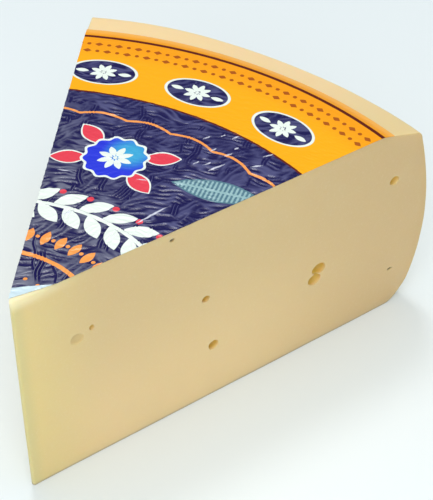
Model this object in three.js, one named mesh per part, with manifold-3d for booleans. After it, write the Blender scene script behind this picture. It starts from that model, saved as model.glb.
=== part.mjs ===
// A wedge of raclette cheese, about a seventh of a round wheel, under its piece of the wheel's
// printed label. Millimetres, +Z up. The origin lies on the table under the middle of the wedge,
// and +Y runs from the tip to the rim. Up to the last section everything is built around the
// wheel's own upright axis, with z = 0 on the table.

import * as THREE from 'three';
import { mergeVertices } from 'three/addons/utils/BufferGeometryUtils.js';
import Module from 'manifold-3d';

const wasm = await Module();
wasm.setup();

const degrees = THREE.MathUtils.degToRad;
const { clamp } = THREE.MathUtils;

// The whole wheel
const WHEEL_RADIUS = 155; // at the bulge of the rim
const WHEEL_HEIGHT = 72.3; // to the top of the label
const FOOT_FLAT_RADIUS = 143; // the flat underside ends here
const FOOT_RADIUS = 151.3; // where the rounded foot meets the side
const FOOT_HEIGHT = 8;
const BULGE_HEIGHT = 31.5; // the side bows out most about here
const BROW_RADIUS = 149.3; // where the side meets the rounded upper corner
const BROW_HEIGHT = 65;
const SHOULDER_RADIUS = 146.3; // where that corner meets the sloping shoulder
const SHOULDER_HEIGHT = 68;
const FLAT_TOP_RADIUS = 133; // inside this the top is flat

// The shoulder is fuller towards the far cut: its edge lies higher there
const FULLER_RISE = 2.2;
const FULLEST_ANGLE = degrees(-20); // round the axis from +Y, where the whole rise is reached
const LEVEL_ANGLE = degrees(7); // and where it has run out
const FULLER_FOOT_HEIGHT = 55; // nothing below this is raised

// The two cuts
const TIP = new THREE.Vector2(1.7, 10.4); // where they meet: the knife just missed the wheel's centre
const HALF_ANGLE = degrees(25.06); // of the wedge, so it spans about 50 degrees
const TIP_EDGE_RADIUS = 0.9; // the upright edge at the tip is a little soft

// The top edge is worn round at the tip, most of all on the near cut, and sharp again further along
const WORN_INSET = 2;
const WORN_DROP = 3.2;
const WORN_FLARE = degrees(6); // how fast the wear leaves the cuts
const WORN_SHIFT = new THREE.Vector2(-1.6, 0.9); // away from the near cut, and in from the tip

// The label
const LABEL_RADIUS = 137.2;
const LABEL_THICKNESS = 0.35;
const LABEL_GAP = 0.25; // between the label and the cheese
const LABEL_END_FAR = 2.5; // how far from the tip the label starts, along the far cut
const LABEL_END_NEAR = 14; // and along the near cut

// The eyes, which are the small round holes in the cheese: the cut they open on, how far along it
// from the tip, how high, how wide and tall their mouths are, and how deep they go
const EYES = [
  { cut: 'near', along: 102.1, height: 31.4, width: 5.2, tall: 4.3, depth: 2.6 },
  { cut: 'near', along: 100.6, height: 27.6, width: 4.9, tall: 4.2, depth: 2.3 },
  { cut: 'near', along: 60.4, height: 41.3, width: 2.7, tall: 2.5, depth: 2.4 },
  { cut: 'near', along: 63.3, height: 21.2, width: 3.7, tall: 3.6, depth: 2.4 },
  { cut: 'near', along: 129.4, height: 53.1, width: 3.6, tall: 3.3, depth: 2.0 },
  { cut: 'near', along: 23.3, height: 51.1, width: 1.6, tall: 1.9, depth: 1.2 },
  { cut: 'near', along: 18.7, height: 49.3, width: 4.2, tall: 3.8, depth: 0.45 },
  { cut: 'near', along: 49.2, height: 68.9, width: 1.8, tall: 1.1, depth: 0.8 },
  { cut: 'near', along: 132.5, height: 15.8, width: 2.2, tall: 1.1, depth: 0.7 },
  { cut: 'far', along: 84, height: 44, width: 4.8, tall: 4.2, depth: 2.4 },
  { cut: 'far', along: 88.6, height: 47.2, width: 3.4, tall: 3.1, depth: 2.0 },
  { cut: 'far', along: 41, height: 26.5, width: 3.2, tall: 3.0, depth: 2.2 },
  { cut: 'far', along: 118, height: 22, width: 3.9, tall: 3.5, depth: 2.2 },
  { cut: 'far', along: 63, height: 57.5, width: 2.2, tall: 2.0, depth: 1.6 },
  { cut: 'far', along: 134.7, height: 50.9, width: 2.6, tall: 2.4, depth: 1.6 },
];

// Fineness of the facets
const WHEEL_FACETS = 288;
const PROFILE_STEPS = 14;
const TIP_FACETS = 6;
const WORN_FACETS = 5;
const EYE_FACETS = 20;

// How far the cutting shapes reach past the wheel, so that no two faces meet by chance
const REACH = WHEEL_RADIUS + 15;
const MARGIN = 5;

const cheeseTop = WHEEL_HEIGHT - LABEL_THICKNESS - LABEL_GAP;
const tipCentre = new THREE.Vector2(TIP.x, TIP.y + TIP_EDGE_RADIUS / Math.sin(HALF_ANGLE));

// A closed geometry as a solid that can be joined and cut
function solidOf(geometry) {
  const bare = geometry.clone();
  bare.deleteAttribute('normal');
  bare.deleteAttribute('uv');
  const merged = mergeVertices(bare, 1e-4);
  const corners = merged.index.array;
  const kept = [];
  for (let i = 0; i < corners.length; i += 3) {
    const [a, b, c] = corners.slice(i, i + 3);
    if (a !== b && b !== c && c !== a) kept.push(a, b, c);
  }
  return new wasm.Manifold(new wasm.Mesh({
    numProp: 3,
    vertProperties: new Float32Array(merged.attributes.position.array),
    triVerts: new Uint32Array(kept),
  }));
}

// And back again
function geometryOf(solid) {
  const mesh = solid.getMesh();
  const geometry = new THREE.BufferGeometry();
  geometry.setAttribute('position', new THREE.BufferAttribute(mesh.vertProperties, 3));
  geometry.setIndex(new THREE.BufferAttribute(mesh.triVerts, 1));
  return geometry;
}

// How much a point of the wheel is raised, because the shoulder is fuller on its side
function rise(x, y, z) {
  const radius = Math.hypot(x, y);
  const outwards = (radius - FLAT_TOP_RADIUS) / (SHOULDER_RADIUS - FLAT_TOP_RADIUS);
  const upwards = (z - FULLER_FOOT_HEIGHT) / (SHOULDER_HEIGHT - FULLER_FOOT_HEIGHT);
  const sideways = x / Math.max(radius, FLAT_TOP_RADIUS);
  const run = THREE.MathUtils.smoothstep(sideways, Math.sin(FULLEST_ANGLE), Math.sin(LEVEL_ANGLE));
  return FULLER_RISE * clamp(outwards, 0, 1) * clamp(upwards, 0, 1) * (1 - run);
}

// A profile of radius and height, turned all the way round the wheel's axis
function turned(profile) {
  const geometry = new THREE.LatheGeometry(profile.getPoints(PROFILE_STEPS), WHEEL_FACETS);
  geometry.rotateX(Math.PI / 2);
  const points = geometry.attributes.position;
  for (let i = 0; i < points.count; i += 1) {
    const z = points.getZ(i);
    points.setZ(i, z + rise(points.getX(i), points.getY(i), z));
  }
  return solidOf(geometry);
}

// The wheel without its label: a flat underside, a rounded foot, a side that bows out, a small
// rounded corner, and a shoulder that slopes up to the flat top
function wheel() {
  const profile = new THREE.Path();
  const footCorner = new THREE.Vector2((FOOT_FLAT_RADIUS + FOOT_RADIUS) / 2, 0.5);
  const bowRadius = 2 * WHEEL_RADIUS - (FOOT_RADIUS + BROW_RADIUS) / 2;
  const browCorner = new THREE.Vector2(BROW_RADIUS - 0.4, SHOULDER_HEIGHT - 0.4);
  profile.moveTo(0, 0);
  profile.lineTo(FOOT_FLAT_RADIUS, 0);
  profile.quadraticCurveTo(footCorner.x, footCorner.y, FOOT_RADIUS, FOOT_HEIGHT);
  profile.quadraticCurveTo(bowRadius, BULGE_HEIGHT, BROW_RADIUS, BROW_HEIGHT);
  profile.quadraticCurveTo(browCorner.x, browCorner.y, SHOULDER_RADIUS, SHOULDER_HEIGHT);
  profile.lineTo(FLAT_TOP_RADIUS, cheeseTop);
  profile.lineTo(0, cheeseTop);
  return turned(profile);
}

// The whole label: flat on the flat top, with its edge bent down on to the shoulder
function labelDisc() {
  const slope = (cheeseTop - SHOULDER_HEIGHT) / (SHOULDER_RADIUS - FLAT_TOP_RADIUS);
  const edgeDrop = slope * (LABEL_RADIUS - FLAT_TOP_RADIUS);
  const under = cheeseTop + LABEL_GAP;
  const profile = new THREE.Path();
  profile.moveTo(0, under);
  profile.lineTo(FLAT_TOP_RADIUS, under);
  profile.lineTo(LABEL_RADIUS, under - edgeDrop);
  profile.lineTo(LABEL_RADIUS, WHEEL_HEIGHT - edgeDrop);
  profile.lineTo(FLAT_TOP_RADIUS, WHEEL_HEIGHT);
  profile.lineTo(0, WHEEL_HEIGHT);
  return turned(profile);
}

// The wedge seen from above: two straight sides that run into the round of the tip
function wedgePlan(centre, radius, halfAngle) {
  const side = new THREE.Vector2(Math.sin(halfAngle), Math.cos(halfAngle)).multiplyScalar(REACH);
  const nearStart = centre.clone().add(new THREE.Vector2(Math.cos(halfAngle), -Math.sin(halfAngle))
    .multiplyScalar(radius));
  const plan = new THREE.Shape();
  plan.absarc(centre.x, centre.y, radius, Math.PI + halfAngle, 2 * Math.PI - halfAngle, false);
  plan.lineTo(nearStart.x + side.x, nearStart.y + side.y);
  plan.lineTo(2 * centre.x - nearStart.x - side.x, nearStart.y + side.y);
  plan.closePath();
  return plan;
}

// What the two cuts leave of the wheel
function betweenCuts() {
  const geometry = new THREE.ExtrudeGeometry(wedgePlan(tipCentre, TIP_EDGE_RADIUS, HALF_ANGLE), {
    depth: WHEEL_HEIGHT + 2 * MARGIN,
    bevelEnabled: false,
    curveSegments: TIP_FACETS,
  });
  return solidOf(geometry.translate(0, 0, -MARGIN));
}

// A blunter wedge with a round upper edge: what the wear leaves of the top of the tip
function insideWear() {
  const centre = tipCentre.clone().add(WORN_SHIFT);
  const plan = wedgePlan(centre, TIP_EDGE_RADIUS + WORN_INSET, HALF_ANGLE + WORN_FLARE);
  const geometry = new THREE.ExtrudeGeometry(plan, {
    depth: cheeseTop + MARGIN - WORN_DROP,
    curveSegments: TIP_FACETS,
    bevelThickness: WORN_DROP,
    bevelSize: WORN_INSET,
    bevelOffset: -WORN_INSET,
    bevelSegments: WORN_FACETS,
  });
  return solidOf(geometry.translate(0, 0, -MARGIN));
}

// A point on one of the cuts, and the way that cut faces
function onCut(cut, along, height) {
  const side = cut === 'near' ? 1 : -1;
  return {
    point: new THREE.Vector3(
      TIP.x + side * Math.sin(HALF_ANGLE) * along,
      TIP.y + Math.cos(HALF_ANGLE) * along,
      height,
    ),
    facing: side * (Math.PI / 2 - HALF_ANGLE),
  };
}

// An eye is an egg-shaped hollow, set so that its widest ring is the mouth on the cut
function eye({ cut, along, height, width, tall, depth }) {
  const { point, facing } = onCut(cut, along, height);
  const geometry = new THREE.SphereGeometry(1, EYE_FACETS, EYE_FACETS / 2);
  geometry.scale(width / 2, depth, tall / 2);
  geometry.rotateZ(facing);
  return solidOf(geometry.translate(point.x, point.y, point.z));
}

// The label's straight end near the tip, as a plan of everything between it and the rim
function pastLabelEnd() {
  const far = onCut('far', LABEL_END_FAR, 0).point;
  const near = onCut('near', LABEL_END_NEAR, 0).point;
  const run = near.clone().sub(far);
  const plan = new THREE.Shape();
  plan.moveTo(far.x - run.x, far.y - run.y);
  plan.lineTo(near.x + run.x, near.y + run.y);
  plan.lineTo(REACH, REACH);
  plan.lineTo(-REACH, REACH);
  plan.closePath();
  const geometry = new THREE.ExtrudeGeometry(plan, {
    depth: WHEEL_HEIGHT + 2 * MARGIN,
    bevelEnabled: false,
  });
  return solidOf(geometry.translate(0, 0, -MARGIN));
}

// Cheese, rind and all, is one solid
function cheese() {
  const wedge = wheel().intersect(betweenCuts()).intersect(insideWear());
  const solid = EYES.reduce((left, each) => left.subtract(eye(each)), wedge);
  const material = new THREE.MeshStandardMaterial({ color: 0xe2cb94, roughness: 0.5, metalness: 0 });
  const mesh = new THREE.Mesh(geometryOf(solid), material);
  mesh.name = 'cheese';
  return mesh;
}

// The label is cut flush with the cheese on both sides
function label() {
  const solid = labelDisc().intersect(betweenCuts()).intersect(pastLabelEnd());
  const material = new THREE.MeshStandardMaterial({ color: 0xfdb426, roughness: 0.3, metalness: 0 });
  const mesh = new THREE.Mesh(geometryOf(solid), material);
  mesh.name = 'label';
  return mesh;
}

// The wedge, moved so that the origin is under its middle
const racletteWedge = new THREE.Group();
racletteWedge.name = 'raclette_wedge';
racletteWedge.add(cheese(), label());
const middle = new THREE.Box3().setFromObject(racletteWedge).getCenter(new THREE.Vector3());
racletteWedge.position.set(-middle.x, -middle.y, 0);
racletteWedge.updateMatrixWorld(true);

export default racletteWedge;
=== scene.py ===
# %% [markdown]
# # A wedge of raclette cheese
#
# The real thing is a slice of about 50 degrees out of a round wheel, 31 cm across and 7 cm high.
# It has a thin bowed rind at the rim, two smooth knife cuts with a few small round eyes, and its
# piece of the wheel's printed label on top, a glossy film that has crinkled finely.
#
# The solids are loaded first, because every piece here has to lie where they are.

# %% Load the frame
import math

import bmesh
import bpy
import numpy as np
from mathutils import Matrix, Vector, noise


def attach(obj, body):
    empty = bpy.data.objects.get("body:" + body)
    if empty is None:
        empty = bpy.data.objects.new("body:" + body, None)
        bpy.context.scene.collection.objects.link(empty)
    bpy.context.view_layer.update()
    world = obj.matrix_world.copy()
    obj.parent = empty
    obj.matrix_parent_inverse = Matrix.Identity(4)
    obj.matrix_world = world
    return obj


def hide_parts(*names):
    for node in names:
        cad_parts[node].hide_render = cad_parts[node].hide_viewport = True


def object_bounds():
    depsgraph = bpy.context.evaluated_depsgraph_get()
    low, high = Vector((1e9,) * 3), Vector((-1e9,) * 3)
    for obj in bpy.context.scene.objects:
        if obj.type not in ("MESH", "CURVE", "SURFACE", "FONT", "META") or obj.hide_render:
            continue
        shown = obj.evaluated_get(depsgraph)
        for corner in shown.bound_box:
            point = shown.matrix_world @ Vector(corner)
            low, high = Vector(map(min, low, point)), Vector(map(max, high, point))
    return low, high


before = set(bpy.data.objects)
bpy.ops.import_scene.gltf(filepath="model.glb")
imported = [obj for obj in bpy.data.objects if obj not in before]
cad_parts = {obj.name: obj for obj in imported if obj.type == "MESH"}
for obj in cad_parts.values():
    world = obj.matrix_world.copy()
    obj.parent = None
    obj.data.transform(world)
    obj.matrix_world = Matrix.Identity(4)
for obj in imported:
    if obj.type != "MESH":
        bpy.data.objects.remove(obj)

cad_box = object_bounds()
bpy.ops.object.select_all(action="DESELECT")
print("CAD box, lowest and highest corner:", [[round(v, 4) for v in corner] for corner in cad_box])

# %% [markdown]
# ## The wheel's own measures
#
# The wedge is easiest to think of as a piece of its wheel, so everything is measured from the
# wheel's upright axis, in millimetres, and a small helper turns that into the frame's metres. The
# tip lies about a centimetre from the axis, because the knife just missed the centre.

# %% Measures
MM = 0.001
WHEEL_RADIUS = 155
CHEESE_TOP = 71.85
FLAT_TOP_RADIUS = 133
SHOULDER_RADIUS = 146.3
SHOULDER_HEIGHT = 68
SHOULDER_SLOPE = (CHEESE_TOP - SHOULDER_HEIGHT) / (SHOULDER_RADIUS - FLAT_TOP_RADIUS)
TIP = Vector((1.7, 10.4))
HALF_ANGLE = math.radians(25.06)
LABEL_RADIUS = 137.2

along_near = Vector((math.sin(HALF_ANGLE), math.cos(HALF_ANGLE)))
along_far = Vector((-along_near.x, along_near.y))
out_near = Vector((along_near.y, -along_near.x))
out_far = Vector((-out_near.x, out_near.y))


def reach(direction):
    """How far a cut runs from the tip to the bulge of the rim."""
    ahead = TIP.dot(direction)
    return -ahead + math.sqrt(ahead**2 + WHEEL_RADIUS**2 - TIP.length_squared)


near_corner = TIP + along_near * reach(along_near)
far_corner = TIP + along_far * reach(along_far)
axis_x = -(near_corner.x + far_corner.x) / 2
axis_y = cad_box[1][1] / MM - WHEEL_RADIUS


def place(x, y, z):
    """A point given from the wheel's axis in millimetres, as a point of the frame in metres."""
    return Vector(((axis_x + x) * MM, (axis_y + y) * MM, z * MM))


def from_axis(point):
    """A point of the frame in metres, as seen from the wheel's axis in millimetres."""
    return Vector((point.x / MM - axis_x, point.y / MM - axis_y, point.z / MM))


print("the wheel's axis is at", round(axis_x, 3), round(axis_y, 3), "mm")

# %% [markdown]
# No wheel is quite even. This one has sagged towards the near cut, so its shoulder stands a
# couple of millimetres higher towards the far one. The cheese and the film both follow that.

# %% The fuller shoulder
FULLER_RISE = 2.2
FULLEST_ANGLE = math.radians(-20)
LEVEL_ANGLE = math.radians(7)
FULLER_FOOT_HEIGHT = 55


def clamped(value):
    return min(1, max(0, value))


def rise(across, ahead, height):
    """How much the shoulder is raised at a point, seen from the wheel's axis in millimetres."""
    radius = math.hypot(across, ahead)
    outwards = clamped((radius - FLAT_TOP_RADIUS) / (SHOULDER_RADIUS - FLAT_TOP_RADIUS))
    upwards = clamped((height - FULLER_FOOT_HEIGHT) / (SHOULDER_HEIGHT - FULLER_FOOT_HEIGHT))
    sideways = across / max(radius, FLAT_TOP_RADIUS)
    fullest, level = math.sin(FULLEST_ANGLE), math.sin(LEVEL_ANGLE)
    run = clamped((sideways - fullest) / (level - fullest))
    return FULLER_RISE * outwards * upwards * (1 - run * run * (3 - 2 * run))


print("rise of the shoulder's edge at the far cut:", round(rise(-60, 133, SHOULDER_HEIGHT), 2), "mm")

# %% [markdown]
# ## The camera
#
# It looks down at the wedge from the right of its tip. The lens is long, about 93 mm, so the
# sides of the wedge close in only gently.

# %% Camera
CAMERA_PLACE = place(157.08, -164.78, 294.62)
CAMERA_AZIMUTH = math.radians(28.876)
CAMERA_DOWN = math.radians(41.625)
CAMERA_ROLL = math.radians(1.103)
LENS_MM = 93.108

camera_data = bpy.data.cameras.new("camera")
camera_data.lens = LENS_MM
camera = bpy.data.objects.new("camera", camera_data)
bpy.context.scene.collection.objects.link(camera)
camera.matrix_world = (
    Matrix.Translation(CAMERA_PLACE)
    @ Matrix.Rotation(CAMERA_AZIMUTH, 4, "Z")
    @ Matrix.Rotation(math.pi / 2 - CAMERA_DOWN, 4, "X")
    @ Matrix.Rotation(CAMERA_ROLL, 4, "Z")
)
bpy.context.scene.camera = camera

# %% [markdown]
# ## Mixing a finish
#
# A finish is a chain of small steps, and a few helpers write it: one adds a node and fills its
# sockets, one does a sum, and one lays a colour over another where a mask says so. A mask is a
# number between 0 and 1 that a soft step makes out of a length in millimetres. Colours are given
# as they look on a screen, which is how a maker picks them.

# %% Helpers for finishes
def new_finish(name, roughness, **same_everywhere):
    """A material and its shader. What is the same all over is set on the shader itself."""
    finish = bpy.data.materials.new(name)
    finish.use_nodes = True
    shader = finish.node_tree.nodes["Principled BSDF"]
    shader.inputs["Roughness"].default_value = roughness
    for socket, value in same_everywhere.items():
        shader.inputs[socket.replace("_", " ")].default_value = value
    return finish, shader


def fill(finish, socket, value):
    """Sets a socket to a value, or joins another node's output to it."""
    if isinstance(value, bpy.types.NodeSocket):
        finish.node_tree.links.new(value, socket)
    else:
        socket.default_value = value


def add(finish, kind, inputs, output=0, **settings):
    """Adds a node, fills its sockets and gives back one of its outputs."""
    made = finish.node_tree.nodes.new("ShaderNode" + kind)
    for name, value in settings.items():
        setattr(made, name, value)
    for socket, value in inputs.items():
        fill(finish, made.inputs[socket], value)
    return made.outputs[output]


def work_out(finish, operation, *values):
    return add(finish, "Math", dict(enumerate(values)), operation=operation)


def times(finish, first, second):
    return work_out(finish, "MULTIPLY", first, second)


def soft_step(finish, value, start, end):
    """0 up to the start, 1 from the end on, and a smooth rise between them."""
    ends = {"Value": value, "From Min": start, "From Max": end}
    return add(finish, "MapRange", ends, interpolation_type="SMOOTHSTEP")


def lay_over(finish, under, over, mask):
    """One colour over another where the mask is 1. A colour is three numbers or a node's output."""
    layers = [c if isinstance(c, bpy.types.NodeSocket) else (*c, 1) for c in (under, over)]
    return add(finish, "Mix", {0: mask, 6: layers[0], 7: layers[1]}, output=2, data_type="RGBA")


def cloudy(finish, where, scale, detail=2.0):
    """Soft random clouds between 0 and 1."""
    return add(finish, "TexNoise", {"Vector": where, "Scale": scale, "Detail": detail})


def wheel_place(finish):
    """Where a point of the surface lies from the wheel's axis, in millimetres."""
    local = add(finish, "TexCoord", {}, output="Object")
    terms = {0: local, 1: (1 / MM,) * 3, 2: (-axis_x, -axis_y, 0)}
    return add(finish, "VectorMath", terms, operation="MULTIPLY_ADD")


def measure(finish, operation, *vectors):
    """A length or another number worked out from vectors."""
    return add(finish, "VectorMath", dict(enumerate(vectors)), output="Value", operation=operation)


def flattened(finish, spot):
    """A place without its height."""
    return add(finish, "VectorMath", {0: spot, 1: (1, 1, 0)}, operation="MULTIPLY")


def linear(red, green, blue):
    """A colour as it looks on a screen, from 0 to 255, as the amounts of light a shader wants."""

    def amount(share):
        return share / 12.92 if share <= 0.04045 else ((share + 0.055) / 1.055) ** 2.4

    return tuple(amount(shown / 255) for shown in (red, green, blue))


# %% [markdown]
# ## Floor and light
#
# The floor is a plain pale sheet. The light is that of a bright studio: a pale surround that is
# brightest overhead, a small soft light high up behind the wedge on the left, which makes the
# crinkles glint, and a larger one in front on the right, which lights the near cut.

# %% Floor and light
FLOOR_SIZE = 6
FLOOR_COLOUR = (0.79, 0.845, 0.855, 1)
SURROUND_COLOUR = (0.93, 0.975, 1.0, 1)
SURROUND_LIGHT = 0.17
OVERHEAD_LIGHT = 1.5
OVERHEAD_FALLOFF = 4

bpy.ops.mesh.primitive_plane_add(size=FLOOR_SIZE, location=(0, 0, 0))
floor = bpy.context.object
floor.name = "floor"
floor_finish, _ = new_finish("pale floor", 0.7, Base_Color=FLOOR_COLOUR)
floor.data.materials.append(floor_finish)
bpy.ops.object.select_all(action="DESELECT")

world = bpy.data.worlds.new("studio")
world.use_nodes = True
backdrop = world.node_tree.nodes["Background"]
backdrop.inputs["Color"].default_value = SURROUND_COLOUR
upwards = add(world, "SeparateXYZ", {0: add(world, "TexCoord", {}, output="Generated")}, output="Z")
overhead = work_out(world, "POWER", work_out(world, "MAXIMUM", upwards, 0), OVERHEAD_FALLOFF)
strength = work_out(world, "MULTIPLY_ADD", overhead, OVERHEAD_LIGHT, SURROUND_LIGHT)
fill(world, backdrop.inputs["Strength"], strength)
bpy.context.scene.world = world
bpy.context.scene.view_settings.view_transform = "Standard"


def softbox(name, azimuth, height, distance, size, power):
    """A square soft light that faces the wedge; azimuth is seen from above, from +X towards +Y."""
    data = bpy.data.lights.new(name, "AREA")
    data.shape = "SQUARE"
    data.size = size
    data.energy = power
    lamp = bpy.data.objects.new(name, data)
    bpy.context.scene.collection.objects.link(lamp)
    a, e = math.radians(azimuth), math.radians(height)
    out = Vector((math.cos(a) * math.cos(e), math.sin(a) * math.cos(e), math.sin(e)))
    facing = out.to_track_quat("Z", "Y").to_matrix().to_4x4()
    lamp.matrix_world = Matrix.Translation(out * distance) @ facing
    return lamp


key = softbox("key softbox", azimuth=128, height=66, distance=1.5, size=0.32, power=4.6)
front = softbox("front softbox", azimuth=296, height=42, distance=1.0, size=0.8, power=5.4)
for lamp in (key, front):
    print(lamp.name, "stands at", [round(v, 2) for v in lamp.location], "m")

# %% [markdown]
# ## The cheese
#
# The cheese is made as its maker and its seller do it: first a whole wheel is turned, then the
# knife cuts the wedge out of it. A cylinder is sliced into rings, and each ring is scaled to the
# rim's radius at its height. That keeps the rim round, and it is easier to read than pushing
# points about afterwards.

# %% The rim's profile
# Radius and height in millimetres: the flat underside's edge, the top of the rounded foot, and
# where the bowed side meets the rounded upper corner
UNDERSIDE_EDGE = (143, 0)
FOOT_TOP = (151.3, 8)
BROW_START = (149.3, 65)

FOOT = [UNDERSIDE_EDGE, (147.15, 0.5), FOOT_TOP]
SIDE = [FOOT_TOP, (159.7, 31.5), BROW_START]
BROW = [BROW_START, (148.9, 67.6), (SHOULDER_RADIUS, SHOULDER_HEIGHT)]
FOOT_STEPS = BROW_STEPS = 8
SIDE_STEPS = 18


def bow(bend, t):
    """A point on a curve that leaves its first point, is drawn to its second and meets its third."""
    a, b, c = (Vector(p) for p in bend)
    return a * (1 - t) ** 2 + b * (2 * t * (1 - t)) + c * t**2


rings = [bow(FOOT, i / FOOT_STEPS) for i in range(FOOT_STEPS)]
rings += [bow(SIDE, i / SIDE_STEPS) for i in range(SIDE_STEPS)]
rings += [bow(BROW, i / BROW_STEPS) for i in range(BROW_STEPS + 1)]
# The shoulder runs into the flat top over a few millimetres
rings.append(Vector((FLAT_TOP_RADIUS + 1.2, CHEESE_TOP - 0.28)))
rings.append(Vector((FLAT_TOP_RADIUS - 1.5, CHEESE_TOP)))
print(len(rings), "rings, from radius", rings[0].x, "at the foot to", rings[-1].x, "on top")

# %% [markdown]
# An operator acts on all that is selected. With no mouse to click with, points and edges are
# picked by a test of where they lie, and everything else is deselected first.

# %% Selecting by place
TOUCHING = 1e-6


def deselected(piece):
    """The mesh of a piece in edit mode, with nothing selected."""
    mesh = bmesh.from_edit_mesh(piece.data)
    for element in (*mesh.faces, *mesh.edges, *mesh.verts):
        element.select_set(False)
    return mesh


def pick(piece, test):
    """Selects the points that pass a test, and what lies between them."""
    mesh = deselected(piece)
    for vertex in mesh.verts:
        if test(vertex.co):
            vertex.select_set(True)
    mesh.select_flush(True)
    bmesh.update_edit_mesh(piece.data)


def pick_edges(piece, test):
    """Selects the edges that pass a test."""
    mesh = deselected(piece)
    for edge in mesh.edges:
        if test(edge):
            edge.select_set(True)
    bmesh.update_edit_mesh(piece.data)


def slice_through(point, facing, drop=False):
    """Cuts the whole mesh by a plane, and with drop takes away what lies beyond it."""
    bpy.ops.mesh.select_all(action="SELECT")
    bpy.ops.mesh.bisect(plane_co=point, plane_no=facing, use_fill=drop, clear_outer=drop)


# %% Turn the wheel
WHEEL_SIDES = 360

bpy.ops.mesh.primitive_cylinder_add(
    vertices=WHEEL_SIDES,
    radius=WHEEL_RADIUS * MM,
    depth=CHEESE_TOP * MM,
    location=place(0, 0, CHEESE_TOP / 2),
)
cheese = bpy.context.object
cheese.name = "cheese_wedge"
bpy.ops.object.transform_apply(location=True, rotation=True, scale=True)
bpy.ops.object.mode_set(mode="EDIT")
bpy.context.tool_settings.mesh_select_mode = (True, False, False)
for ring in rings[1:-1]:
    slice_through(place(0, 0, ring.y), (0, 0, 1))
for ring in rings:
    level = ring.y * MM
    pick(cheese, lambda co: abs(co.z - level) < TOUCHING)
    ratio = ring.x / WHEEL_RADIUS
    bpy.ops.transform.resize(value=(ratio, ratio, 1), center_override=place(0, 0, ring.y))
print("wheel:", len(bmesh.from_edit_mesh(cheese.data).verts), "points")

# %% [markdown]
# ### The two cuts
#
# The knife leaves crisp edges, but no edge of a soft cheese is razor sharp. The upright edge at
# the tip gets a radius of nearly a millimetre and the others a few tenths. Bevelling them now,
# while each cut side is still a single face, gives clean even strips.

# %% Cut the wedge out and soften its edges
TIP_EDGE_RADIUS = 0.9
SOFT_EDGE = 0.3
SHARP_ANGLE = math.radians(40)

tip_point = place(TIP.x, TIP.y, 0)
slice_through(tip_point, (*out_near, 0), drop=True)
slice_through(tip_point, (*out_far, 0), drop=True)


def stands_at(point):
    """A test for the upright edge over a point."""
    return lambda edge: all((v.co.xy - point.xy).length < TOUCHING for v in edge.verts)


def round_off(radius, half_angle, segments):
    """Bevels the selected upright edge of a wedge to a true round of a given radius."""
    share = 1 / (2 + 2 * math.sin(half_angle))
    offset = radius / math.tan(half_angle) * MM
    bpy.ops.mesh.bevel(offset=offset, segments=segments, profile=(1 - share) ** 2)


pick_edges(cheese, stands_at(tip_point))
round_off(TIP_EDGE_RADIUS, HALF_ANGLE, segments=8)
pick_edges(cheese, lambda edge: edge.is_manifold and edge.calc_face_angle() > SHARP_ANGLE)
bpy.ops.mesh.bevel(offset=SOFT_EDGE * MM, segments=2, profile=0.5)
print("cut out and softened:", len(bmesh.from_edit_mesh(cheese.data).faces), "faces")

# %% [markdown]
# ### Cells for a fine surface
#
# A cut side is never quite flat, because the cheese gives way under the knife. To let it bend a
# little, the wedge is sliced into cells a few millimetres wide.

# %% Slice the sides into cells
CELL = 4
# A little off whole millimetres, so that no slice runs along a ring or an edge
SLICE_SHIFT_UP = 0.5
SLICE_SHIFT_AHEAD = 0.3


def describe(name, piece):
    print(name, [round(d / MM, 1) for d in piece.dimensions], "mm,", len(piece.data.polygons), "faces")


for height in range(CELL, int(CHEESE_TOP), CELL):
    slice_through(place(0, 0, height + SLICE_SHIFT_UP), (0, 0, 1))
for ahead in range(int(TIP.y) + CELL, WHEEL_RADIUS, CELL):
    slice_through(place(0, ahead + SLICE_SHIFT_AHEAD, 0), (0, 1, 0))
bpy.ops.object.mode_set(mode="OBJECT")
describe("wedge:", cheese)

# %% [markdown]
# ### The worn tip
#
# Handling has rounded the top edge at the tip, most of all on the near cut. The wear is what a
# blunter wedge with a round upper edge leaves when the two are intersected. Its sides flare by a
# few degrees, so the rounding runs out along the cut by itself. The Boolean's Manifold solver is
# used here and for the eyes, because it always gives back a closed skin.

# %% Wear the tip round
WORN_INSET = 2
WORN_DROP = 3.2
WORN_FLARE = math.radians(6)
WORN_SHIFT = Vector((-1.6, 0.9))
BLOCK_WIDTH = 400
BLOCK_LENGTH = 200
BLOCK_TOP = CHEESE_TOP + 0.03
EDGE_TAKEN_BACK = 1e-4


def combine(piece, tool, operation):
    """Joins or cuts a piece by a tool, applies that and takes the tool away."""
    modifier = piece.modifiers.new("combine", "BOOLEAN")
    modifier.operation = operation
    modifier.solver = "MANIFOLD"
    modifier.object = tool
    bpy.ops.object.select_all(action="DESELECT")
    bpy.context.view_layer.objects.active = piece
    bpy.ops.object.modifier_apply(modifier=modifier.name)
    bpy.data.objects.remove(tool)


blunt_angle = HALF_ANGLE + WORN_FLARE
blunt_radius = TIP_EDGE_RADIUS + WORN_INSET
blunt_tip = TIP + WORN_SHIFT
blunt_tip.y += TIP_EDGE_RADIUS / math.sin(HALF_ANGLE) - blunt_radius / math.sin(blunt_angle)

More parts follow.
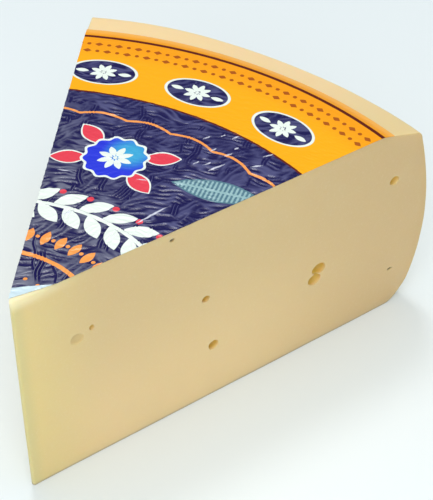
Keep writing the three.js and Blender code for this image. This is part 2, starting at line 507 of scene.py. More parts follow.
bpy.ops.mesh.primitive_cube_add(
    size=1,
    location=place(0, BLOCK_LENGTH / 2, BLOCK_TOP / 2),
    scale=(BLOCK_WIDTH * MM, BLOCK_LENGTH * MM, (BLOCK_TOP + 2 * CELL) * MM),
)
block = bpy.context.object
bpy.ops.object.transform_apply(location=True, rotation=True, scale=True)
bpy.ops.object.mode_set(mode="EDIT")
pick(block, lambda co: co.z > 0)
bpy.ops.transform.translate(value=(0, 0, -CELL * MM))
block_top = BLOCK_TOP * MM
blunt_point = place(blunt_tip.x, blunt_tip.y, 0)
for side in (1, -1):
    slice_through(blunt_point, (side * math.cos(blunt_angle), -math.sin(blunt_angle), 0), drop=True)
pick_edges(block, stands_at(blunt_point))
round_off(blunt_radius, blunt_angle, segments=10)
back_y = place(0, BLOCK_LENGTH, 0).y


def edges_the_top(edge):
    """True on the block's upper edges, apart from the one at the back."""
    on_top = all(abs(v.co.z - block_top) < TOUCHING for v in edge.verts)
    in_front = any(v.co.y < back_y - EDGE_TAKEN_BACK for v in edge.verts)
    return on_top and in_front and edge.calc_face_angle() > SHARP_ANGLE


pick_edges(block, edges_the_top)
bpy.ops.mesh.bevel(offset=WORN_INSET * MM, segments=8, profile=0.5)
pick(block, lambda co: co.z > (BLOCK_TOP - WORN_INSET) * MM - TOUCHING)
bpy.ops.transform.resize(value=(1, 1, WORN_DROP / WORN_INSET), center_override=(0, 0, block_top))
bpy.ops.object.mode_set(mode="OBJECT")
combine(cheese, block, "INTERSECT")
describe("worn wedge:", cheese)

# %% [markdown]
# ### The eyes
#
# Eyes are bubbles of gas that the knife has opened, so each is an egg-shaped hollow whose widest
# ring is its mouth. A sphere is scaled and turned to the cut, its skin is made a little uneven,
# and it is taken away from the wedge. Two of them run into each other.

# %% Open the eyes
# The cut each opens on, how far along it from the tip, how high, its width, tallness and depth,
# and whether its inside is golden, dark grey or, where it is shallow, plain; each tone is painted
# darker deeper in, as painted shade of the hollow, and the golden one is partly the wall's own tone
EYES = [
    ("near", 102.1, 31.4, 5.2, 4.3, 2.6, "golden"),
    ("near", 100.6, 27.6, 4.9, 4.2, 2.3, "golden"),
    ("near", 60.4, 41.3, 2.7, 2.5, 2.4, "golden"),
    ("near", 63.3, 21.2, 3.7, 3.6, 2.4, "golden"),
    ("near", 129.4, 53.1, 3.6, 3.3, 2.0, "golden"),
    ("near", 23.3, 51.1, 1.6, 1.9, 1.2, "golden"),
    ("near", 18.7, 49.3, 4.2, 3.8, 0.45, "plain"),
    ("near", 49.2, 68.9, 1.8, 1.1, 0.8, "grey"),
    ("near", 132.5, 15.8, 2.2, 1.1, 0.7, "grey"),
    ("far", 84, 44, 4.8, 4.2, 2.4, "golden"),
    ("far", 88.6, 47.2, 3.4, 3.1, 2.0, "golden"),
    ("far", 41, 26.5, 3.2, 3.0, 2.2, "golden"),
    ("far", 118, 22, 3.9, 3.5, 2.2, "golden"),
    ("far", 63, 57.5, 2.2, 2.0, 1.6, "golden"),
    ("far", 134.7, 50.9, 2.6, 2.4, 1.6, "golden"),
]
EYE_UNEVENNESS = 0.09
EYE_LUMP = 1.3


def eye_mouth(cut, along, height):
    """The middle of an eye's mouth, from the wheel's axis."""
    spot = TIP + (along_near if cut == "near" else along_far) * along
    return Vector((spot.x, spot.y, height))


for number, (cut, along, height, width, tall, depth, _) in enumerate(EYES):
    bpy.ops.mesh.primitive_uv_sphere_add(segments=36, ring_count=18, radius=1)
    bubble = bpy.context.object
    for vertex in bubble.data.vertices:
        vertex.co *= 1 + EYE_UNEVENNESS * noise.noise(vertex.co * EYE_LUMP + Vector((number, 0, 0)))
    bubble.scale = (width / 2 * MM, depth * MM, tall / 2 * MM)
    bubble.rotation_euler.z = (math.pi / 2 - HALF_ANGLE) * (1 if cut == "near" else -1)
    bubble.location = place(*eye_mouth(cut, along, height))
    combine(cheese, bubble, "DIFFERENCE")
shape = bmesh.new()
shape.from_mesh(cheese.data)
open_edges = sum(not edge.is_manifold for edge in shape.edges)
print(len(EYES), "eyes opened,", len(shape.faces), "faces,", open_edges, "open edges")
shape.free()

# %% [markdown]
# ### A surface that gives way
#
# The cuts swell and hollow by a tenth or two of a millimetre, in long shallow waves, and the rind
# by a little more. Those moves only go inwards, so the wedge never grows past its solid, and the
# shoulder is raised as the solid's is. The same pass leaves notes for the finish: how deep a point
# lies in an eye, and whether it is on the wheel's own skin, which the knife didn't touch.

# %% Let the surface give way
CUT_GIVE = 0.22
CUT_GIVE_DEPTH = 4
RIND_GIVE = 0.5
RIND_GIVE_RUN = 12
UNCUT_DEPTH = 0.15
# How far from its middle an eye's hollow is looked for, as a share of its largest measure
EYE_REACH = 0.62
# An eye has its full colour from this depth on
FULL_TONE_DEPTH = 1.4
TONES = ("golden", "grey", "plain")


def wave(spot, length, seed):
    """A soft random wave between 0 and 1."""
    return 0.5 + 0.5 * noise.noise(spot / length + Vector((seed, 0, 0)))


def tone_at(spot, behind):
    """How far inside an eye a point lies, from 0 to 1, for each tone of eye."""
    deep = dict.fromkeys(TONES, 0.0)
    for cut, along, height, width, tall, depth, tone in EYES:
        if (spot - eye_mouth(cut, along, height)).length < max(width, tall, 2 * depth) * EYE_REACH:
            inside = behind[0 if cut == "near" else 1] / min(depth, FULL_TONE_DEPTH)
            deep[tone] = max(deep[tone], min(1, inside))
    return deep


eye_depth = {tone: [] for tone in TONES}
rind = []
for vertex in cheese.data.vertices:
    spot = from_axis(vertex.co)
    flat = spot.xy
    moved = Vector((0, 0))
    # How far behind the near and the far cut the point lies
    behind = []
    for outwards, seed in ((out_near, 3), (out_far, 11)):
        under_skin = -(flat - TIP).dot(outwards)
        behind.append(under_skin)
        share = max(0, 1 - under_skin / CUT_GIVE_DEPTH)
        give = 0.7 * wave(spot, 22, seed) + 0.3 * wave(spot, 8, seed + 1)
        moved -= outwards * share * CUT_GIVE * give
    if flat.length > FLAT_TOP_RADIUS:
        share = min(1, (flat.length - FLAT_TOP_RADIUS) / RIND_GIVE_RUN)
        give = 0.6 * wave(spot, 26, 23) + 0.4 * wave(spot, 9, 29)
        moved -= flat.normalized() * share * RIND_GIVE * give
    outside = flat.length > FLAT_TOP_RADIUS or spot.z < UNCUT_DEPTH
    rind.append(float(outside and min(behind) > UNCUT_DEPTH))
    for tone, value in tone_at(spot, behind).items():
        eye_depth[tone].append(value)
    vertex.co.xy += moved * MM
    vertex.co.z += rise(*spot) * MM


def note(piece, name, values):
    """Keeps a number for each point of a piece, which its finish can read."""
    piece.data.attributes.new(name, "FLOAT", "POINT").data.foreach_set("value", values)


def smooth(piece, up_to):
    """Shades a piece smooth, but for edges sharper than an angle in degrees."""
    bpy.ops.object.select_all(action="DESELECT")
    piece.select_set(True)
    bpy.context.view_layer.objects.active = piece
    bpy.ops.object.shade_smooth_by_angle(angle=math.radians(up_to))


note(cheese, "rind", rind)
for tone, values in eye_depth.items():
    note(cheese, f"{tone}_eye", values)
smooth(cheese, up_to=38)
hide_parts("cheese")
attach(cheese, "root")
print("cheese:", [round(d / MM, 2) for d in cheese.dimensions], "mm")

# %% [markdown]
# ### The cheese's finish
#
# Young raclette is pale ivory-yellow and lets a little light in, so the shader gets subsurface
# scattering with a reach of a few millimetres. Light is painted into the paste too: a painted glow
# makes it yellower by the tip, where light shines through the thin cheese, painted shade darkens the
# tip's rounded edge and the paste higher up the cut, and a painted highlight lies on the worn top
# edge at the tip. The paste is duller towards the rind and a little deeper in colour right under it.
# The rind is a paler, drier skin, duller towards the near cut, and a thin grey-brown line marks
# where it turns under the foot. The eyes darken inwards, partly their own golden tone and partly
# painted shade of the hollows. Nearly all of it follows from where a point lies on the wheel, so no
# picture is needed. The rind and the eyes come from the notes.

# %% Cheese finish
PASTE = linear(240, 210, 155)
# Painted shade: the paste higher up the cut, darker than low down, where the floor throws light back
PASTE_HIGH_SHADED = linear(221, 194, 141)
# Painted glow: light shining through the thin tip makes the paste yellower there
PASTE_TIP_GLOW = linear(233, 210, 143)
# Painted shade on the tip's rounded upright edge
TIP_EDGE_SHADE = linear(217, 203, 142)
PASTE_BY_RIND = linear(213, 182, 130)
RIND = linear(251, 217, 163)
RIND_NEAR = linear(232, 208, 152)
RIND_EDGE = linear(217, 185, 126)
FOOT_LINE = linear(190, 166, 132)
# Painted shade inside the eyes: each colour darkens the paste deeper in a hollow; the golden one is
# partly the eye wall's own tone
EYE_DEEP_SHADED = linear(214, 177, 78)
EYE_GREY_SHADED = linear(104, 92, 72)
EYE_PLAIN_SHADED = linear(214, 187, 129)
# Painted highlight: the worn top edge at the tip, paler where it faces the light from above
WORN_TIP_HIGHLIGHT = linear(250, 237, 194)
DULL_CLOUD = linear(222, 200, 150)
PALE_GRAIN = linear(248, 236, 200)
BULGE_HEIGHT = 33.5
RIM_BOW = 0.0057

cheese_finish, cheese_shader = new_finish(
    "raclette cheese",
    0.46,
    Subsurface_Weight=0.35,
    Subsurface_Radius=(1.0, 0.62, 0.3),
    Subsurface_Scale=0.004,
    Specular_IOR_Level=0.4,
)
f = cheese_finish
spot = wheel_place(f)
sideways = add(f, "SeparateXYZ", {0: spot}, output="X")
level = add(f, "SeparateXYZ", {0: spot}, output="Z")
flat_spot = flattened(f, spot)
radius = measure(f, "LENGTH", flat_spot)
from_tip = measure(f, "DISTANCE", flat_spot, (TIP.x, TIP.y, 0))
from_bulge = work_out(f, "SUBTRACT", level, BULGE_HEIGHT)
rim_radius = work_out(f, "MULTIPLY_ADD", times(f, from_bulge, from_bulge), -RIM_BOW, WHEEL_RADIUS)
under_rind = work_out(f, "SUBTRACT", rim_radius, radius)

# Painted shade higher up the cut, so the paste low down looks lit by light thrown back from the floor
colour = lay_over(f, PASTE, PASTE_HIGH_SHADED, soft_step(f, level, 5, 60))
colour = lay_over(f, colour, PASTE_BY_RIND, times(f, soft_step(f, under_rind, 80, 4), 0.8))
# Painted glow of light through the thin tip
colour = lay_over(f, colour, PASTE_TIP_GLOW, soft_step(f, from_tip, 30, 0))
# Painted shade along the rounded edge at the very tip
colour = lay_over(f, colour, TIP_EDGE_SHADE, soft_step(f, from_tip, 6, 1.5))
# Painted highlight on the worn, upward-facing top edge at the tip
worn_highlight = times(f, soft_step(f, level, 67.5, 71.5), soft_step(f, from_tip, 24, 3))
colour = lay_over(f, colour, WORN_TIP_HIGHLIGHT, times(f, worn_highlight, 0.8))
clouds = cloudy(f, spot, 0.07, detail=3)
colour = lay_over(f, colour, DULL_CLOUD, times(f, soft_step(f, clouds, 0.45, 0.75), 0.12))
grain = cloudy(f, spot, 1.6, detail=4)
colour = lay_over(f, colour, PALE_GRAIN, times(f, soft_step(f, grain, 0.5, 0.8), 0.1))
colour = lay_over(f, colour, RIND_EDGE, times(f, soft_step(f, under_rind, 4, 0.8), 0.6))
skin = add(f, "Attribute", {}, output="Fac", attribute_name="rind")
towards_near = soft_step(f, work_out(f, "DIVIDE", sideways, radius), 0.08, 0.44)
colour = lay_over(f, colour, lay_over(f, RIND, RIND_NEAR, towards_near), skin)
# Painted shade of the eyes' hollows, growing with depth
for tone, shade in zip(TONES, (EYE_DEEP_SHADED, EYE_GREY_SHADED, EYE_PLAIN_SHADED)):
    deep = add(f, "Attribute", {}, output="Fac", attribute_name=f"{tone}_eye")
    colour = lay_over(f, colour, shade, soft_step(f, deep, 0.02, 0.9))
colour = lay_over(f, colour, FOOT_LINE, times(f, soft_step(f, level, 1.1, 0.3), 0.8))
fill(f, cheese_shader.inputs["Base Color"], colour)

# The knife's drag leaves marks that are long along the cut, and between them lie fine pores
stretched = add(f, "Mapping", {"Vector": spot, "Scale": (0.25, 0.25, 2.0)})
drag = cloudy(f, stretched, 0.8, detail=5)
pores = cloudy(f, spot, 2.6, detail=4)
relief = work_out(f, "ADD", times(f, drag, 0.5), times(f, pores, 0.5))
bump = add(f, "Bump", {"Height": relief, "Strength": 0.25, "Distance": 0.2 * MM})
fill(f, cheese_shader.inputs["Normal"], bump)
cheese.data.materials.clear()
cheese.data.materials.append(cheese_finish)
print("cheese finish:", len(f.node_tree.nodes), "nodes")

# %% [markdown]
# ## The label's film
#
# The label is one thin film, flat on the wheel and bent down a little where the wheel's shoulder
# begins. A straight line of points, spun round the wheel's axis, gives a sheet whose outer edge is
# a true arc, and the same two cuts that made the wedge trim it. The upper sheet needs points every
# third of a millimetre for its crinkles. The lower one is plain, so it gets few, and bridging the
# two outlines closes the film.

# %% Spin and trim the two sheets
FILM_BED = 72.01
FILM_THICKNESS = 0.09
FILM_INNER = 11
FILM_START = math.radians(-23.6)
FILM_SWEEP = math.radians(48.2)
BEND_SOFTNESS = 0.5
LABEL_END_FAR = 2.5
LABEL_END_NEAR = 14

end_far = TIP + along_far * LABEL_END_FAR
end_near = TIP + along_near * LABEL_END_NEAR
end_run = (end_near - end_far).normalized()
end_facing = Vector((end_run.y, -end_run.x))


def spun_sheet(name, points_out, steps_round):
    """A flat sheet in the label's outline, at the height of the film's bed."""
    line_length = LABEL_RADIUS - FILM_INNER
    turn = Matrix.Rotation(-FILM_START, 2)
    middle = turn @ Vector((line_length / 2, FILM_INNER + line_length / 2))
    bpy.ops.mesh.primitive_plane_add(
        size=line_length * MM,
        location=place(middle.x, middle.y, FILM_BED),
        rotation=(0, 0, -FILM_START),
    )
    sheet = bpy.context.object
    sheet.name = name
    bpy.ops.object.transform_apply(location=True, rotation=True, scale=True)
    bpy.ops.object.mode_set(mode="EDIT")
    aside = turn @ Vector((1, 0))
    pick(sheet, lambda co: from_axis(co).xy.dot(aside) > 1)
    bpy.ops.mesh.delete(type="VERT")
    for cuts in points_out:
        bpy.ops.mesh.select_all(action="SELECT")
        bpy.ops.mesh.subdivide(number_cuts=cuts)
    bpy.ops.mesh.select_all(action="SELECT")
    bpy.ops.mesh.spin(
        steps=steps_round, angle=FILM_SWEEP, center=place(0, 0, FILM_BED), axis=(0, 0, 1)
    )
    for point, facing in ((TIP, out_near), (TIP, out_far), (end_far, end_facing)):
        bpy.ops.mesh.select_all(action="SELECT")
        plane_point = place(point.x, point.y, 0)
        bpy.ops.mesh.bisect(plane_co=plane_point, plane_no=(*facing, 0), clear_outer=True)
    bpy.ops.object.mode_set(mode="OBJECT")
    return sheet


def bed(across, ahead):
    """The height the film rests at, seen from the axis: flat, then bent down softly."""
    past = math.hypot(across, ahead) - FLAT_TOP_RADIUS
    bent = 0.5 * (past + math.sqrt(past**2 + BEND_SOFTNESS))
    return FILM_BED + rise(across, ahead, FILM_BED) - SHOULDER_SLOPE * bent


film = spun_sheet("label_film", (19, 19), 210)
under = spun_sheet("under_sheet", (62,), 24)
for sheet, drop in ((film, 0), (under, FILM_THICKNESS)):
    for vertex in sheet.data.vertices:
        vertex.co.z = (bed(*from_axis(vertex.co).xy) - drop) * MM
print("upper sheet:", len(film.data.vertices), "points, lower sheet:", len(under.data.vertices))

# %% Bridge the outlines
bpy.ops.object.select_all(action="DESELECT")
under.select_set(True)
film.select_set(True)
bpy.context.view_layer.objects.active = film
bpy.ops.object.join()
bpy.ops.object.mode_set(mode="EDIT")
pick_edges(film, lambda edge: edge.is_boundary)
bpy.ops.mesh.bridge_edge_loops()
bpy.ops.mesh.select_all(action="SELECT")
bpy.ops.mesh.normals_make_consistent(inside=False)
mesh = bmesh.from_edit_mesh(film.data)
open_edges = sum(not edge.is_manifold for edge in mesh.edges)
volume = round(mesh.calc_volume(signed=True) / MM**3)
print("film:", len(mesh.faces), "faces,", open_edges, "open edges,", volume, "cubic mm")
bpy.ops.object.mode_set(mode="OBJECT")

# %% [markdown]
# ### The print
#
# Printed shapes have sharp edges, and a point's own colour would blur them. So each ink gets a
# map of its own: how many millimetres a point lies inside the ink's edge, below zero outside. The
# shader turns the map sharp again, because it reads it between the points. The motifs are common
# ones: an almond medallion with a rosette, a daisy among leaves, a feathery leaf, a leaf garland,
# a scalloped line, and rows of lozenges and dots. All are placed round the wheel's axis, as a
# wheel's label is.

# %% Simple printed shapes
points = np.array([from_axis(v.co) for v in film.data.vertices])
across, ahead = points[:, 0], points[:, 1]
out_from_axis = np.hypot(across, ahead)
round_axis = np.degrees(np.arctan2(across, ahead))


def spot_at(radius, angle):
    """A place on the label, by its distance from the wheel's axis and its angle in degrees."""
    return radius * math.sin(math.radians(angle)), radius * math.cos(math.radians(angle))


def seen_from(centre, turn):
    """The film's points from a centre, along and beside a direction in degrees."""
    c, s = math.cos(math.radians(turn)), math.sin(math.radians(turn))
    x, y = across - centre[0], ahead - centre[1]
    return x * c + y * s, y * c - x * s


def dot(centre, size):
    return size / 2 - np.hypot(across - centre[0], ahead - centre[1])


def leaf(centre, turn, length, width):
    along, beside = seen_from(centre, turn)
    return width / 2 * (1 - (2 * along / length) ** 2) - np.abs(beside)


def almond(centre, turn, length, width):
    along, beside = seen_from(centre, turn)
    return (1 - np.hypot(2 * along / length, 2 * beside / width)) * width / 2


def ring_line(radius, width):
    return width / 2 - np.abs(out_from_axis - radius)


def out_from(centre, distance, turn):
    """A place at a distance from a centre, in a direction in degrees."""
    c, s = math.cos(math.radians(turn)), math.sin(math.radians(turn))
    return centre[0] + distance * c, centre[1] + distance * s


def flower(centre, size, petals):
    shape = dot(centre, size * 0.12)
    for k in range(petals):
        turn = 360 * k / petals
        petal = leaf(out_from(centre, size * 0.29, turn), turn, size * 0.44, size * 0.19)
        shape = np.maximum(shape, petal)
    return shape


def scalloped_disc(centre, size, lobes):
    x, y = seen_from(centre, 0)
    return size / 2 * (1 + 0.05 * np.cos(lobes * np.arctan2(y, x))) - np.hypot(x, y)


def join(*shapes):
    return np.maximum.reduce(shapes)


def leave_out(shape, *others):
    return np.minimum(shape, -join(*others))


def beaded_row(radius, pitch, start):
    """Lozenges and dots by turns along an arc."""
    place_in_row = np.radians(round_axis) * radius / pitch + start
    nearest = np.round(place_in_row)
    along, beside = (place_in_row - nearest) * pitch, out_from_axis - radius
    lozenge = 0.8 - (np.abs(along) * 0.56 + np.abs(beside) * 0.78)
    bead = 0.68 - np.hypot(along, beside)
    return np.where(nearest % 2 == 0, lozenge, bead)


print(len(points), "points to print on")

# %% [markdown]
# The orange ring carries three medallions, and outside them two beaded rows and a plain line.

# %% The ring's motifs
RING_INNER = 102.8
MEDALLION_RADIUS = 113.6
MEDALLION_ANGLES = (-17.5, -2, 13.5)
MEDALLION_SIZE = (21.5, 13)
MEDALLION_EDGE = 0.55
ROSETTE_SIZE = 8.6
PETALS = 8
SIDE_LEAF_SIZE = (4.4, 1.8)
SIDE_LEAF_ANGLE = 3.4
PLAIN_LINE = (132.7, 1.3)
INNER_LINE = (102.5, 0.7)
BEAD_PITCH = 3.2
BEAD_ROWS = ((128.4, 0), (124.6, 0.5))

medallions, rosettes, side_leaves = [], [], []
for angle in MEDALLION_ANGLES:
    centre = spot_at(MEDALLION_RADIUS, angle)
    medallions.append(almond(centre, -angle, *MEDALLION_SIZE))
    rosettes.append(flower(centre, ROSETTE_SIZE, PETALS))
    for side in (-1, 1):
        beside_it = spot_at(MEDALLION_RADIUS, angle + side * SIDE_LEAF_ANGLE)
        side_leaves.append(leaf(beside_it, -angle, *SIDE_LEAF_SIZE))
medallions, rosettes, side_leaves = join(*medallions), join(*rosettes), join(*side_leaves)
beads = join(*(beaded_row(row, BEAD_PITCH, start) for row, start in BEAD_ROWS))
print(len(MEDALLION_ANGLES), "medallions and", len(BEAD_ROWS), "beaded rows")

# %% [markdown]
# The dark middle carries the daisy, the garland and the smaller motifs, and a pale margin ends
# the print short of the tip.

# %% The middle's motifs
DAISY = spot_at(74.5, -6)
DAISY_SIZE = 10.5
DAISY_DISC_SIZE = 19
DAISY_LOBES = 12
DAISY_LEAF_SIZE = (10.5, 5.2)
DAISY_LEAF_OUT = 13.2
DAISY_LEAF_TURNS = (28, 152, 208, 332)
LEAF_EDGE = 0.5
DISC_EDGE = 0.8
GARLAND_RADIUS = 49.5
GARLAND_PITCH = 7.4
GARLAND_STEM = 1.2
GARLAND_LEAF_SIZE = (9.6, 4.3)
GARLAND_LEAF_OUT = 3.6
GARLAND_LEAF_TURN = 38
BERRY_SIZE = 2
BERRY_OUT = 5.9
BERRY_SHIFT = 0.42
DROPS_RADIUS = 36.2
DROPS_PITCH = 4.6
DROP_SIZE = (5.6, 2.5)
DOT_SIZE = 1.2
ARC_LINE = (29, 1.3)
TIP_DOTS_RADIUS = 20.5
TIP_DOTS_ANGLE = 11.7
SCALLOPS_RADIUS = 91.5
SCALLOPS_WIDTH = 0.9
SCALLOPS_RISE = 1.6
SCALLOPS_RATE = 20
PRINT_END = (Vector((-0.7, 16.5)), Vector((9.9, 24.4)))
FEATHER = ((24.5, 75.5), 11, 27, 9)
FEATHER_EDGE = 0.5
HATCH_PITCH = 1.25
HATCH_WIDTH = 0.6
SPINE_WIDTH = 0.7

daisy_disc = scalloped_disc(DAISY, DAISY_DISC_SIZE, DAISY_LOBES)
daisy = flower(DAISY, DAISY_SIZE, PETALS)
daisy_leaves = join(
    *(leaf(out_from(DAISY, DAISY_LEAF_OUT, t), t, *DAISY_LEAF_SIZE) for t in DAISY_LEAF_TURNS)
)
around_daisy = join(daisy_disc, daisy_leaves + LEAF_EDGE)

garland = ring_line(GARLAND_RADIUS, GARLAND_STEM)
berries = []
garland_step = math.degrees(GARLAND_PITCH / GARLAND_RADIUS)
for k in range(-4, 5):
    for side, shift in ((1, 0), (-1, 0.5)):
        angle = (k + shift) * garland_step
        centre = spot_at(GARLAND_RADIUS + side * GARLAND_LEAF_OUT, angle)
        garland = join(garland, leaf(centre, side * GARLAND_LEAF_TURN - angle, *GARLAND_LEAF_SIZE))
    berry_angle = (k - BERRY_SHIFT) * garland_step
    berries.append(dot(spot_at(GARLAND_RADIUS + BERRY_OUT, berry_angle), BERRY_SIZE))

drops = ring_line(*ARC_LINE)
drop_step = math.degrees(DROPS_PITCH / DROPS_RADIUS)
for k in range(-4, 5):
    drops = join(
        drops,
        leaf(spot_at(DROPS_RADIUS, k * drop_step), 90 - k * drop_step, *DROP_SIZE),
        dot(spot_at(DROPS_RADIUS, (k + 0.5) * drop_step), DOT_SIZE),
        dot(spot_at(TIP_DOTS_RADIUS, k * TIP_DOTS_ANGLE), DOT_SIZE),
    )
scallops = SCALLOPS_RISE * np.abs(np.sin(np.radians(round_axis) * SCALLOPS_RATE))
scalloped_line = SCALLOPS_WIDTH / 2 - np.abs(out_from_axis - SCALLOPS_RADIUS - scallops)

end_along = (PRINT_END[1] - PRINT_END[0]).normalized()
margin = end_along.y * (across - PRINT_END[0].x) - end_along.x * (ahead - PRINT_END[0].y)

feather = leaf(*FEATHER)
feather_along, feather_beside = seen_from(*FEATHER[:2])
hatch = HATCH_WIDTH / 2 - np.abs(feather_along - np.round(feather_along / HATCH_PITCH) * HATCH_PITCH)
spine = SPINE_WIDTH / 2 - np.abs(feather_beside)
feather_lines = np.minimum(feather - FEATHER_EDGE, join(hatch, spine))
print("garland leaves", round(garland_step, 1), "degrees apart, drops", round(drop_step, 1))

# %% [markdown]
# Last come the sharp creases, along which white glints are painted. They aren't printed, but they
# are drawn in the same way, so they are kept with the inks as one more map.

# %% Creases and inks
# The middle, the direction, the length and the width of each crease
GLINT_CREASES = [
    ((9.8, 95.4), 60, 3.2, 0.55),
    ((13.4, 98.5), 55, 2.4, 0.5),
    ((16.9, 99.7), 64, 3.4, 0.55),
    ((19.6, 95.2), 54, 2, 0.55),
    ((29, 97), 55, 4.2, 0.6),
    ((13.1, 83.6), 67, 2.8, 0.45),
    ((16, 84.8), 62, 3.2, 0.5),
    ((19, 84.6), 61, 6.6, 0.6),
    ((28.4, 90.8), 39, 4.2, 0.6),
    ((14.3, 91.3), 66, 3, 0.45),
    ((19, 91.4), 58, 3.2, 0.5),
    ((14.3, 57.8), 70, 12.4, 0.6),
    ((-5.6, 47.3), 55, 4.4, 0.45),
    ((-17, 62), 15, 3.4, 0.4),
    ((4, 69.5), 20, 3.6, 0.45),
]

# Where the painted white glints lie, along the sharpest creases
glint_creases = join(*(leaf(*crease_glint) for crease_glint in GLINT_CREASES))

inks = {
    "orange": leave_out(out_from_axis - RING_INNER, medallions),
    "white": join(
        np.minimum(medallions, MEDALLION_EDGE - medallions), rosettes, side_leaves, around_daisy, garland
    ),
    "pale": margin,
    "teal": leave_out(feather, around_daisy, garland),
    "light teal": leave_out(feather_lines, around_daisy, garland),
    "gold": leave_out(join(drops, scalloped_line), around_daisy + DISC_EDGE, margin),
    "red": leave_out(join(daisy_leaves, *berries), daisy_disc, margin),
    "blue": leave_out(daisy_disc - DISC_EDGE, daisy),
    "brown": join(ring_line(*PLAIN_LINE), ring_line(*INNER_LINE)),
    "rust": beads,
    "crease_glint": glint_creases,
}
for ink, inside in inks.items():
    note(film, ink, inside.astype(np.float32))
print("inks:", ", ".join(f"{ink} over {np.mean(inside > 0):.0%}" for ink, inside in inks.items()))

# %% [markdown]
# ### Crinkles
#
# The film has shrunk on the cheese. Over the dark middle it stands in fine wavy ridges that run
# across the wedge, crossed in patches by slanting ones, and on the orange ring it lies nearly
# smooth. Ridges are long one way and short the other, so the random waves are stretched, and they
# are bent by slower ones. The lower sheet stays plain and hidden. The height of a crest is noted
# for the finish, which paints a sheen on the crests and leaves the valleys dark as painted shade.

# %% Ridges
# How far a ridge wanders aside, and over what length along it and beside it
LONG_WANDER = (2.4, 9, 14)
SHORT_WANDER = (0.55, 3.1, 3.5)
RIDGE_STRETCH = 4.2
RIDGE_SHARPNESS = 2.3
RIDGE_ROUNDING = 1.25
# The direction in degrees, the spacing and the seed of each family of ridges
ACROSS_WEDGE = (14, 1.65, 2)
SLANTING = (62, 1.9, 31)


def ridges(x, y, turn, spacing, seed):
    """The film's ridges at a point, from 0 in a valley to 1 on a crest."""
    c, s = math.cos(math.radians(turn)), math.sin(math.radians(turn))
    along, beside = x * c + y * s, y * c - x * s
    for layer, (aside, run, width) in enumerate((LONG_WANDER, SHORT_WANDER)):
        beside += aside * noise.noise(Vector((along / run, beside / width, seed + 3 * layer)))
    spot = Vector((along / (RIDGE_STRETCH * spacing), beside / spacing, seed + 6))
    return max(0, 1 - RIDGE_SHARPNESS * abs(noise.noise(spot)))


def crinkled(x, y):
    """Ridges across the wedge, crossed in patches by others that slant."""
    patch = clamped(0.5 + 2.6 * noise.noise(Vector((x / 10, y / 12, 50))))
    straight = ridges(x, y, *ACROSS_WEDGE) * (1 - 0.45 * patch)
    crossing = 0.85 * ridges(x, y, *SLANTING) * patch
    return max(straight, crossing) ** RIDGE_ROUNDING


height = np.array([crinkled(x, y) for x, y in zip(across, ahead)])
print("ridges: mean height", round(float(height.mean()), 2))

# %% [markdown]
# Where the film has been pushed together it stands in bunches of narrow folds, dark between their
# bright crests. The largest ones are listed one by one, and small ones are strewn between them.

# %% Bunches of folds
# The middle, the direction, the length and the width of each bunch
BUNCHES = [
    ((-25.5, 90), 112, 6.5, 2.6),
    ((-24, 82.8), 101, 4.5, 3.4),
    ((-12.3, 95.5), 110, 6.5, 2.2),
    ((-7.9, 92.6), 105, 6, 3.6),
    ((-7.6, 87), 94, 5, 3),
    ((-11.5, 62), 128, 8, 2),
    ((-4.2, 62.5), 113, 5.5, 2.4),
    ((5.6, 91.7), 120, 4, 2.4),
    ((10.4, 87.7), 97, 12, 2.6),
    ((2.8, 62.5), 78, 7, 5),
    ((-4.6, 45.3), 101, 10, 2.8),
    ((8.9, 42.6), 99, 6, 2),
    ((10.2, 47.3), 99, 5, 2),
    ((0.3, 26.6), 115, 13, 2.6),
    ((-3.6, 29.6), 124, 18, 1.1),
    ((5, 26.3), 129, 9, 1),
    ((18.4, 63.2), 98, 5, 2.6),
    ((21.3, 99), 92, 4.5, 3),
    ((29.5, 94.5), 100, 5, 2),
]
FOLD_PITCH = 0.95
FOLD_SWAY = 0.3
STREWN_FOLDS = 34

draw = np.random.default_rng(7)
for _ in range(STREWN_FOLDS):
    centre = spot_at(math.sqrt(draw.uniform(20**2, 101**2)), draw.uniform(-24, 24))
    BUNCHES.append((centre, draw.uniform(85, 125), draw.uniform(2, 4.5), draw.uniform(0.9, 1.9)))

bunched = np.zeros(len(points))
crest = np.zeros(len(points))
for number, (centre, turn, length, width) in enumerate(BUNCHES):
    along, beside = seen_from(centre, turn)
    beside = beside + FOLD_SWAY * np.sin(along * 0.8 + number)
    inside = np.clip(1 - (2 * along / length) ** 2, 0, 1)
    inside = inside * np.clip(1.3 - 1.3 * (2 * beside / width) ** 2, 0, 1)
    folds = 0.5 + 0.5 * np.cos(2 * math.pi * beside / FOLD_PITCH + number)
    crest = np.where(inside > bunched, folds, crest)
    bunched = np.maximum(bunched, np.minimum(1, 1.6 * inside))
print(len(BUNCHES), "bunches of folds over", f"{np.mean(bunched > 0.3):.0%}", "of the film")

# %% [markdown]
# Now the upper sheet is raised by ridges, folds and creases together. It is calmer on the ring
# and round the daisy, where the film clings. The highest crest stays under the solid's top.

# %% Raise the film
RIDGE_HEIGHT = 0.25
FOLD_HEIGHT = 0.27
CREASE_HEIGHT = 0.06
VALLEY_DEPTH = 0.06
HIGHEST = 0.27
CALM_ON_RING = 0.8
CALM_AT_DAISY = 0.6

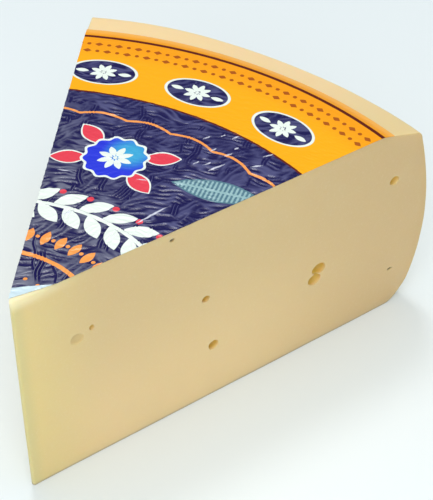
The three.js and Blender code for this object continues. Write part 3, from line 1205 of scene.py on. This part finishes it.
on_ring = np.clip((out_from_axis - RING_INNER + 2) / 4, 0, 1)
at_daisy = np.clip(around_daisy / 1.5 + 0.5, 0, 1)
strength = (1 - CALM_ON_RING * on_ring) * (1 - CALM_AT_DAISY * at_daisy)
lift = strength * (RIDGE_HEIGHT * height * (1 - bunched) + FOLD_HEIGHT * crest * bunched)
lift = lift + CREASE_HEIGHT * np.clip(glint_creases + 0.5, 0, 0.6) - VALLEY_DEPTH
lift = np.clip(lift, -VALLEY_DEPTH, HIGHEST)
on_top = points[:, 2] > np.array([bed(x, y) for x, y in zip(across, ahead)]) - FILM_THICKNESS / 2
for vertex, raised, upper in zip(film.data.vertices, lift, on_top):
    if upper:
        vertex.co.z += raised * MM
# Painted sheen and shade: from this the finish lights the crests and leaves the valleys dark
painted_crest_sheen = height * (1 - bunched) + 0.75 * crest**3 * bunched
note(film, "crest", painted_crest_sheen.astype(np.float32))
highest = round(max(v.co.z for v in film.data.vertices) / MM, 3)
print("crinkles from", round(lift.min(), 3), "to", round(lift.max(), 3), "mm, top at", highest, "mm")

smooth(film, up_to=60)
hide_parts("label")
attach(film, "root")

# %% [markdown]
# ### The film's finish
#
# The inks lie over each other in the order they were printed, on a dark blue ground. A grey-blue
# sheen is painted on the crests, paler towards the tip as a painted haze, and the ground left dark in
# the valleys and folds is painted shade as well as their shape. White glints are painted along a few
# sharp creases. The orange is redder by the rim and peach at the very edge, where the cheese shines
# through. Gloss does the rest: the film mirrors the pale room along every ridge.

# %% Film finish
NAVY = linear(5, 0, 74)
# Painted sheen on the crests, for the light the glossy ridges mirror
NAVY_CREST_SHEEN = linear(74, 75, 120)
# Painted haze: the crests' sheen is paler towards the tip
NAVY_CREST_HAZE = linear(110, 112, 132)
ORANGE = linear(252, 174, 0)
ORANGE_OUTER = linear(248, 159, 0)
ORANGE_EDGE = linear(255, 184, 84)
WHITE = linear(234, 243, 234)
PALE = linear(204, 224, 232)
GOLD = linear(248, 158, 78)
RED = linear(228, 62, 80)
BLUE = linear(34, 52, 214)
CYAN = linear(58, 166, 212)
BROWN = linear(94, 18, 0)
RUST = linear(170, 84, 0)
TEAL = linear(84, 122, 138)
LIGHT_TEAL = linear(146, 182, 186)
# Painted glint: white along the sharpest creases, where the glossy film would mirror a bright light
CREASE_GLINT = linear(214, 216, 230)
# The direction in which the painted sheen on the crests grows paler
TOWARDS_TIP = (-0.62, -0.78, 0)
DISC_BRIGHT_SPOT = (DAISY[0] + 2.5, DAISY[1] + 4, FILM_BED)

film_finish, film_shader = new_finish(
    "printed film", 0.25, Coat_Weight=0.12, Coat_Roughness=0.12, Specular_IOR_Level=0.25
)
f = film_finish


def inked(ink, soft=0.06):
    """1 where an ink lies, from its map of millimetres inside the edge."""
    inside = add(f, "Attribute", {}, output="Fac", attribute_name=ink)
    return soft_step(f, inside, -soft, soft)


spot = wheel_place(f)
on_crest = add(f, "Attribute", {}, output="Fac", attribute_name="crest")
towards_tip = measure(f, "DOT_PRODUCT", spot, TOWARDS_TIP)
# Painted sheen on the crests, paler towards the tip as painted haze; the navy left between is painted
# shade in the valleys
crest_sheen_colour = lay_over(f, NAVY_CREST_SHEEN, NAVY_CREST_HAZE, soft_step(f, towards_tip, -62, -28))
colour = lay_over(f, NAVY, crest_sheen_colour, soft_step(f, on_crest, 0.15, 0.9))
film_radius = measure(f, "LENGTH", flattened(f, spot))
orange = lay_over(f, ORANGE, ORANGE_OUTER, soft_step(f, film_radius, 119, 129))
orange = lay_over(f, orange, ORANGE_EDGE, soft_step(f, film_radius, 133, 137))
INKS = (
    ("orange", orange),
    ("teal", TEAL),
    ("light teal", LIGHT_TEAL),
    ("white", WHITE),
    ("gold", GOLD),
    ("red", RED),
    ("pale", PALE),
)
for ink, shade in INKS:
    colour = lay_over(f, colour, shade, inked(ink))
from_bright_spot = measure(f, "DISTANCE", spot, DISC_BRIGHT_SPOT)
disc_shade = lay_over(f, BLUE, CYAN, soft_step(f, from_bright_spot, 9, 2))
for ink, shade in (("blue", disc_shade), ("brown", BROWN), ("rust", RUST)):
    colour = lay_over(f, colour, shade, inked(ink))
# Painted white glints along the sharpest creases
colour = lay_over(f, colour, CREASE_GLINT, times(f, inked("crease_glint", 0.12), 0.85))
fill(f, film_shader.inputs["Base Color"], colour)

# Between the modelled ridges lies a finer crinkle, along the same direction
along_ridges = (0, 0, math.radians(-14))
stretched = add(f, "Mapping", {"Vector": spot, "Rotation": along_ridges, "Scale": (0.35, 1.3, 1)})
fine_crinkle = cloudy(f, stretched, 1.3, detail=3)
bump = add(f, "Bump", {"Height": fine_crinkle, "Strength": 0.5, "Distance": 0.14 * MM})
fill(f, film_shader.inputs["Normal"], bump)
film.data.materials.clear()
film.data.materials.append(film_finish)
print("film finish:", len(f.node_tree.nodes), "nodes")

# %% [markdown]
# ## The sizes
#
# The dressed wedge has to fit the solids it stands for, so both boxes are written down.

# %% Write the sizes and finish
describe("cheese:", cheese)
describe("film:", film)
